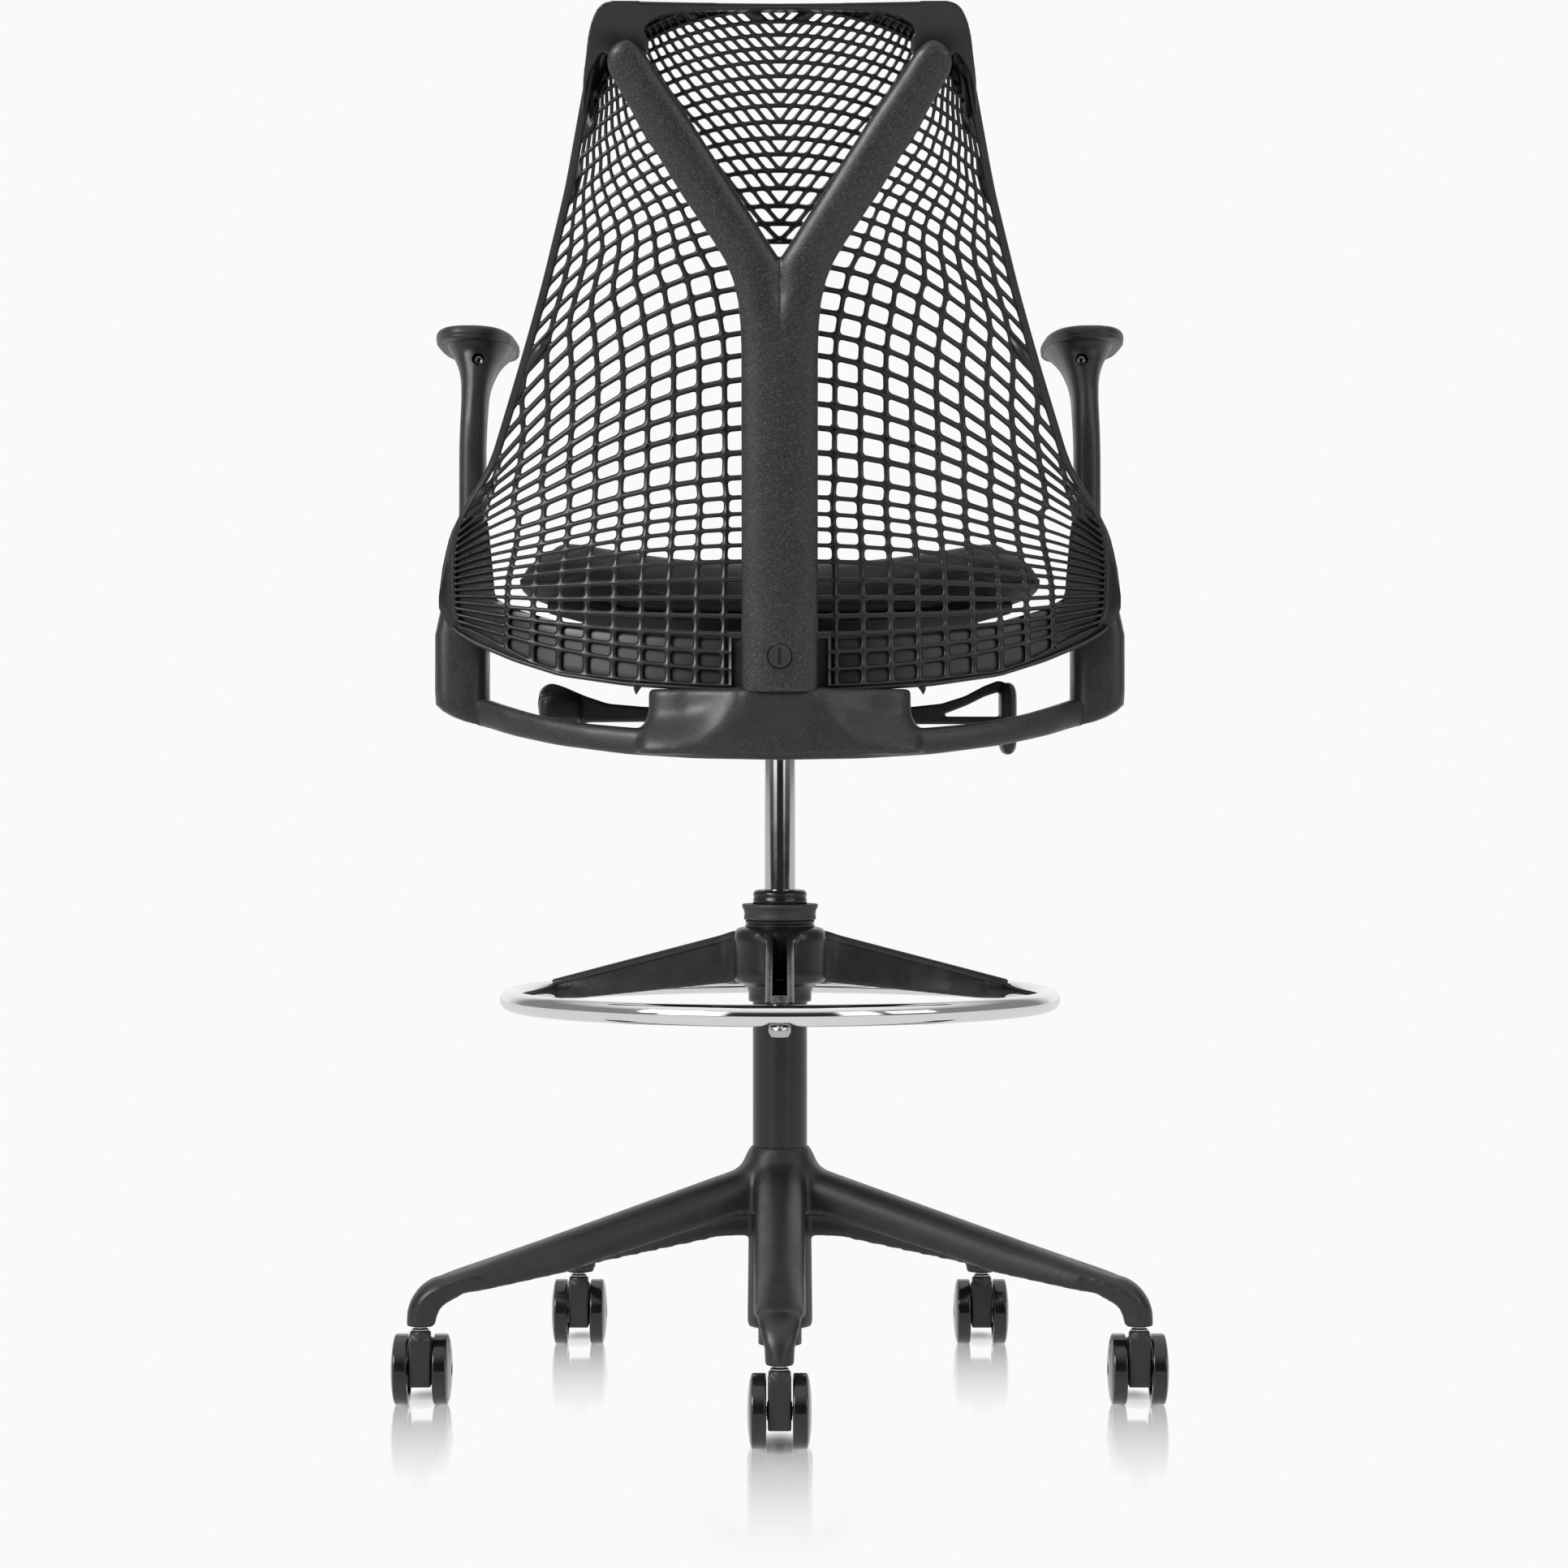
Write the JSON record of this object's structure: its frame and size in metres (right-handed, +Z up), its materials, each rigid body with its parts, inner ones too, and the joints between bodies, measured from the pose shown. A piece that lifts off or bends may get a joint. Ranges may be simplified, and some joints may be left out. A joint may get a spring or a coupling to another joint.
{
  "type": "drafting chair",
  "caption": "Drafting chair: elastic lattice back on a Y-shaped tower, height-adjustable arms, tilting upholstered seat, gas column, sliding chrome foot ring and five-star caster base.",
  "frame": {"origin": "on the floor under the column's axis", "axes": "+Z up, +Y the way the sitter faces, +X towards the sitter's right hand"},
  "size_m": [0.697, 0.6749, 1.217],
  "materials": {
    "base_plastic": "satin moulded black",
    "column_paint": "semi-gloss black enamel",
    "cap_plastic": "semi-gloss black",
    "bright_steel": "bright zinc-plated steel",
    "dark_chrome": "polished dark chrome",
    "ring_plastic": "glossy moulded black",
    "ring_chrome": "polished chrome",
    "collar_plastic": "fine-grained dark grey",
    "housing_metal": "powder-coated black",
    "cover_plastic": "fine-grained black",
    "torsion_rubber": "black rubber",
    "handle_plastic": "fine-grained black",
    "pan_plastic": "grey moulded plastic",
    "seat_fabric": "black ribbed upholstery",
    "yoke_metal": "fine-grained black composite",
    "tower_plastic": "fine-grained black",
    "band_plastic": "satin black",
    "lattice_elastomer": "black elastomer",
    "arm_plastic": "fine-grained black",
    "pad_skin": "soft-touch black urethane",
    "hood_plastic": "satin black",
    "wheel_plastic": "glossy black"
  },
  "bodies": {
    "base": {"base_casting": "base_plastic", "column_tube": "column_paint", "guide_bush": "cap_plastic", "thrust_bearing": "bright_steel"},
    "lift_rod": {"piston_rod": "bright_steel", "retaining_clip": "bright_steel"},
    "mechanism": {"gas_cylinder": "dark_chrome", "tilt_housing": "housing_metal", "tilt_cover": "cover_plastic", "recline_pin": "bright_steel", "seat_pivot_pin": "bright_steel", "torsion_packs": "torsion_rubber"},
    "valve": {"valve_button": "bright_steel"},
    "height_handle": {"height_lever": "handle_plastic"},
    "tilt_handle": {"tilt_lever": "handle_plastic"},
    "tension_dial": {"tension_knob": "handle_plastic"},
    "seat": {"seat_pan": "pan_plastic", "seat_cushion": "seat_fabric"},
    "back": {"arm_yoke": "yoke_metal", "y_tower": "tower_plastic", "tower_bolt": "bright_steel", "tower_cap": "cover_plastic", "top_bow": "tower_plastic", "lower_band": "band_plastic", "back_lattice": "lattice_elastomer", "arm_sleeve_l": "arm_plastic", "arm_sleeve_r": "arm_plastic"},
    "arm_left": {"arm_post_l": "arm_plastic", "arm_pad_l": "pad_skin"},
    "arm_right": {"arm_post_r": "arm_plastic", "arm_pad_r": "pad_skin"},
    "arm_release_left": {"arm_button_l": "handle_plastic"},
    "arm_release_right": {"arm_button_r": "handle_plastic"},
    "foot_ring": {"foot_ring_hub": "ring_plastic", "foot_ring_tube": "ring_chrome", "foot_ring_screws": "bright_steel", "foot_ring_collet": "ring_plastic"},
    "ring_lock": {"lock_collar": "collar_plastic"},
    "caster_1": {"caster_hood_1": "hood_plastic", "caster_pins_1": "bright_steel"},
    "wheel_left_1": {"wheel_left_1": "wheel_plastic"},
    "wheel_right_1": {"wheel_right_1": "wheel_plastic"},
    "caster_2": {"caster_hood_2": "hood_plastic", "caster_pins_2": "bright_steel"},
    "wheel_left_2": {"wheel_left_2": "wheel_plastic"},
    "wheel_right_2": {"wheel_right_2": "wheel_plastic"},
    "caster_3": {"caster_hood_3": "hood_plastic", "caster_pins_3": "bright_steel"},
    "wheel_left_3": {"wheel_left_3": "wheel_plastic"},
    "wheel_right_3": {"wheel_right_3": "wheel_plastic"},
    "caster_4": {"caster_hood_4": "hood_plastic", "caster_pins_4": "bright_steel"},
    "wheel_left_4": {"wheel_left_4": "wheel_plastic"},
    "wheel_right_4": {"wheel_right_4": "wheel_plastic"},
    "caster_5": {"caster_hood_5": "hood_plastic", "caster_pins_5": "bright_steel"},
    "wheel_left_5": {"wheel_left_5": "wheel_plastic"},
    "wheel_right_5": {"wheel_right_5": "wheel_plastic"}
  },
  "joints": [
    {"name": "swivel", "type": "hinge", "parent": "base", "child": "lift_rod", "pos_m": [0, 0, 0.4], "axis": [0, 0, 1], "continuous": true},
    {"name": "seat_height", "type": "slide", "parent": "lift_rod", "child": "mechanism", "axis": [0, 0, 1], "range_m": [-0.1, 0.14]},
    {"name": "recline", "type": "hinge", "parent": "mechanism", "child": "back", "pos_m": [0, -0.04, 0.64], "axis": [1, 0, 0], "range_deg": [0, 20], "stiffness_Nm_per_rad": 110, "springref_deg": -20.05},
    {"name": "seat_tilt", "type": "hinge", "parent": "mechanism", "child": "seat", "pos_m": [0, 0.115, 0.655], "axis": [1, 0, 0], "range_deg": [0, 7]},
    {"name": "height_lever_lift", "type": "hinge", "parent": "mechanism", "child": "height_handle", "pos_m": [0.07, 0.045, 0.64], "axis": [0, -1, 0], "range_deg": [0, 5], "stiffness_Nm_per_rad": 4, "springref_deg": -6.88},
    {"name": "valve_press", "type": "slide", "parent": "mechanism", "child": "valve", "axis": [0, 0, -1], "range_m": [0, 0.006], "stiffness_N_per_m": 300, "springref_m": -0.002},
    {"name": "tilt_lever_turn", "type": "hinge", "parent": "mechanism", "child": "tilt_handle", "pos_m": [-0.07, 0.045, 0.64], "axis": [0, 1, 0], "range_deg": [-10, 10]},
    {"name": "tension_turn", "type": "hinge", "parent": "mechanism", "child": "tension_dial", "pos_m": [0, 0.085, 0.59], "axis": [0, 0, 1], "range_deg": [0, 1080]},
    {"name": "foot_ring_slide", "type": "slide", "parent": "base", "child": "foot_ring", "axis": [0, 0, 1], "range_m": [-0.12, 0]},
    {"name": "ring_lock_turn", "type": "hinge", "parent": "foot_ring", "child": "ring_lock", "pos_m": [0, 0, 0.438], "axis": [0, 0, 1], "range_deg": [0, 90]},
    {"name": "arm_height_left", "type": "slide", "parent": "back", "child": "arm_left", "axis": [0, 0, 1], "range_m": [-0.06, 0.04]},
    {"name": "arm_release_left", "type": "slide", "parent": "arm_left", "child": "arm_release_left", "axis": [0, -1, 0], "range_m": [0, 0.0035], "stiffness_N_per_m": 400, "springref_m": -0.002},
    {"name": "arm_height_right", "type": "slide", "parent": "back", "child": "arm_right", "axis": [0, 0, 1], "range_m": [-0.06, 0.04]},
    {"name": "arm_release_right", "type": "slide", "parent": "arm_right", "child": "arm_release_right", "axis": [0, -1, 0], "range_m": [0, 0.0035], "stiffness_N_per_m": 400, "springref_m": -0.002},
    {"name": "caster_swivel_1", "type": "hinge", "parent": "base", "child": "caster_1", "pos_m": [0, -0.338, 0.08], "axis": [0, 0, 1], "continuous": true},
    {"name": "wheel_roll_left_1", "type": "hinge", "parent": "caster_1", "child": "wheel_left_1", "pos_m": [-0.019, -0.324, 0.03175], "axis": [1, 0, 0], "continuous": true},
    {"name": "wheel_roll_right_1", "type": "hinge", "parent": "caster_1", "child": "wheel_right_1", "pos_m": [0.019, -0.324, 0.03175], "axis": [1, 0, 0], "continuous": true},
    {"name": "caster_swivel_2", "type": "hinge", "parent": "base", "child": "caster_2", "pos_m": [0.32146, -0.10445, 0.08], "axis": [0, 0, 1], "continuous": true},
    {"name": "wheel_roll_left_2", "type": "hinge", "parent": "caster_2", "child": "wheel_left_2", "pos_m": [0.30246, -0.09045, 0.03175], "axis": [1, 0, 0], "continuous": true},
    {"name": "wheel_roll_right_2", "type": "hinge", "parent": "caster_2", "child": "wheel_right_2", "pos_m": [0.34046, -0.09045, 0.03175], "axis": [1, 0, 0], "continuous": true},
    {"name": "caster_swivel_3", "type": "hinge", "parent": "base", "child": "caster_3", "pos_m": [0.19867, 0.27345, 0.08], "axis": [0, 0, 1], "continuous": true},
    {"name": "wheel_roll_left_3", "type": "hinge", "parent": "caster_3", "child": "wheel_left_3", "pos_m": [0.17967, 0.28745, 0.03175], "axis": [1, 0, 0], "continuous": true},
    {"name": "wheel_roll_right_3", "type": "hinge", "parent": "caster_3", "child": "wheel_right_3", "pos_m": [0.21767, 0.28745, 0.03175], "axis": [1, 0, 0], "continuous": true},
    {"name": "caster_swivel_4", "type": "hinge", "parent": "base", "child": "caster_4", "pos_m": [-0.19867, 0.27345, 0.08], "axis": [0, 0, 1], "continuous": true},
    {"name": "wheel_roll_left_4", "type": "hinge", "parent": "caster_4", "child": "wheel_left_4", "pos_m": [-0.21767, 0.28745, 0.03175], "axis": [1, 0, 0], "continuous": true},
    {"name": "wheel_roll_right_4", "type": "hinge", "parent": "caster_4", "child": "wheel_right_4", "pos_m": [-0.17967, 0.28745, 0.03175], "axis": [1, 0, 0], "continuous": true},
    {"name": "caster_swivel_5", "type": "hinge", "parent": "base", "child": "caster_5", "pos_m": [-0.32146, -0.10445, 0.08], "axis": [0, 0, 1], "continuous": true},
    {"name": "wheel_roll_left_5", "type": "hinge", "parent": "caster_5", "child": "wheel_left_5", "pos_m": [-0.34046, -0.09045, 0.03175], "axis": [1, 0, 0], "continuous": true},
    {"name": "wheel_roll_right_5", "type": "hinge", "parent": "caster_5", "child": "wheel_right_5", "pos_m": [-0.30246, -0.09045, 0.03175], "axis": [1, 0, 0], "continuous": true}
  ],
  "couplings": [
    {"joint": "seat_tilt", "follows": "recline", "ratio": 0.35},
    {"joint": "valve_press", "follows": "height_lever_lift", "m_per_rad": 0.0687}
  ]
}
